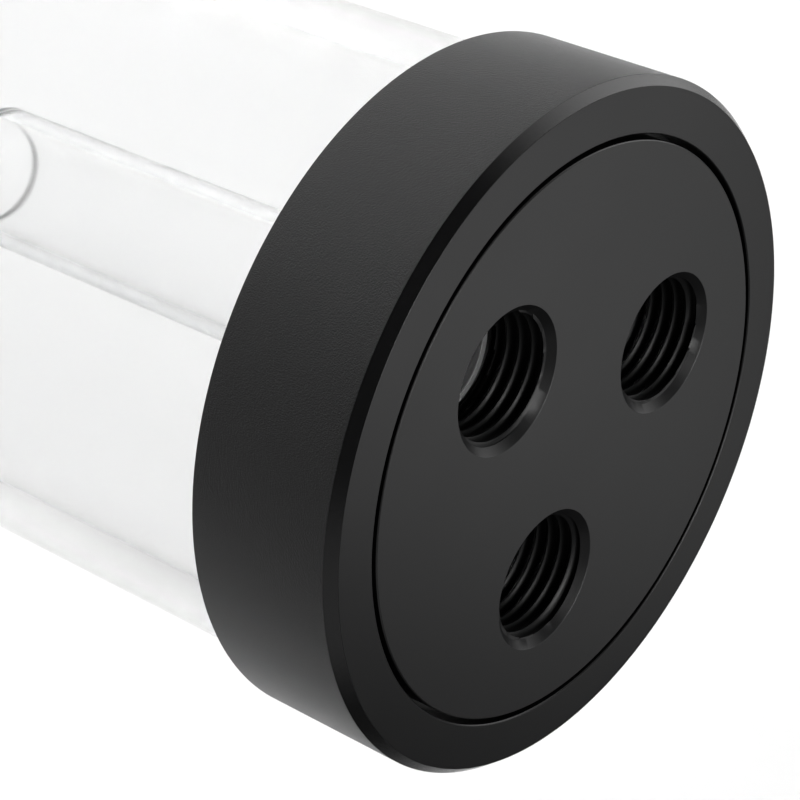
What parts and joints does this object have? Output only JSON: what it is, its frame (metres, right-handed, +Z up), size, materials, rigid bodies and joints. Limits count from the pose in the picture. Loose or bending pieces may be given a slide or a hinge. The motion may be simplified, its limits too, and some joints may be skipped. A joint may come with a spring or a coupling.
{
  "type": "liquid cooling reservoir",
  "caption": "Clear tube reservoir for a liquid cooling loop, with threaded retaining rings over port plates at both ends and an inner tube below one port.",
  "frame": {"origin": "middle of the flat lower face that the reservoir stands on", "axes": "+Z up along the tube, from the lower cap to the pictured cap; +Y towards the port that holds the inner tube"},
  "size_m": [0.065, 0.065, 0.2],
  "materials": {
    "black_anodised_aluminium": "fine blasted and black anodised",
    "black_acetal": "machined, satin",
    "clear_acrylic": "polished and clear",
    "black_rubber": "moulded, dull"
  },
  "bodies": {
    "tube_body": {"reservoir_tube": "clear_acrylic"},
    "top_plate_body": {"top_port_plate": "black_acetal", "top_plate_seal": "black_rubber"},
    "top_ring_body": {"top_retaining_ring": "black_anodised_aluminium"},
    "inner_seal_body": {"inner_tube_seal": "black_rubber"},
    "inner_tube_body": {"inner_tube": "clear_acrylic"},
    "bottom_plate_body": {"bottom_port_plate": "black_acetal", "bottom_plate_seal": "black_rubber"},
    "bottom_ring_body": {"bottom_retaining_ring": "black_anodised_aluminium"}
  },
  "joints": [
    {"name": "top_cap_lift", "type": "slide", "parent": "tube_body", "child": "top_plate_body", "axis": [0, 0, 1], "range_m": [0, 0.0065]},
    {"name": "top_ring_turn", "type": "hinge", "parent": "top_plate_body", "child": "top_ring_body", "pos_m": [0, 0, 0.192], "axis": [0, 0, 1], "range_deg": [0, 1561]},
    {"name": "bottom_cap_lift", "type": "slide", "parent": "tube_body", "child": "bottom_plate_body", "axis": [0, 0, -1], "range_m": [0, 0.0065]},
    {"name": "bottom_ring_turn", "type": "hinge", "parent": "bottom_plate_body", "child": "bottom_ring_body", "pos_m": [0, 0, 0.008], "axis": [0, 0, -1], "range_deg": [0, 1561]},
    {"name": "inner_tube_drop", "type": "slide", "parent": "top_plate_body", "child": "inner_seal_body", "axis": [0, 0, -1], "range_m": [0, 0.006]},
    {"name": "inner_tube_turn", "type": "hinge", "parent": "inner_seal_body", "child": "inner_tube_body", "pos_m": [0, 0.0139, 0.16], "axis": [0, 0, -1], "range_deg": [0, 2161]}
  ],
  "couplings": [
    {"joint": "top_ring_turn", "follows": "top_cap_lift", "rad_per_m": 4188.8},
    {"joint": "bottom_ring_turn", "follows": "bottom_cap_lift", "rad_per_m": 4188.8},
    {"joint": "inner_tube_turn", "follows": "inner_tube_drop", "rad_per_m": 6283.2}
  ]
}
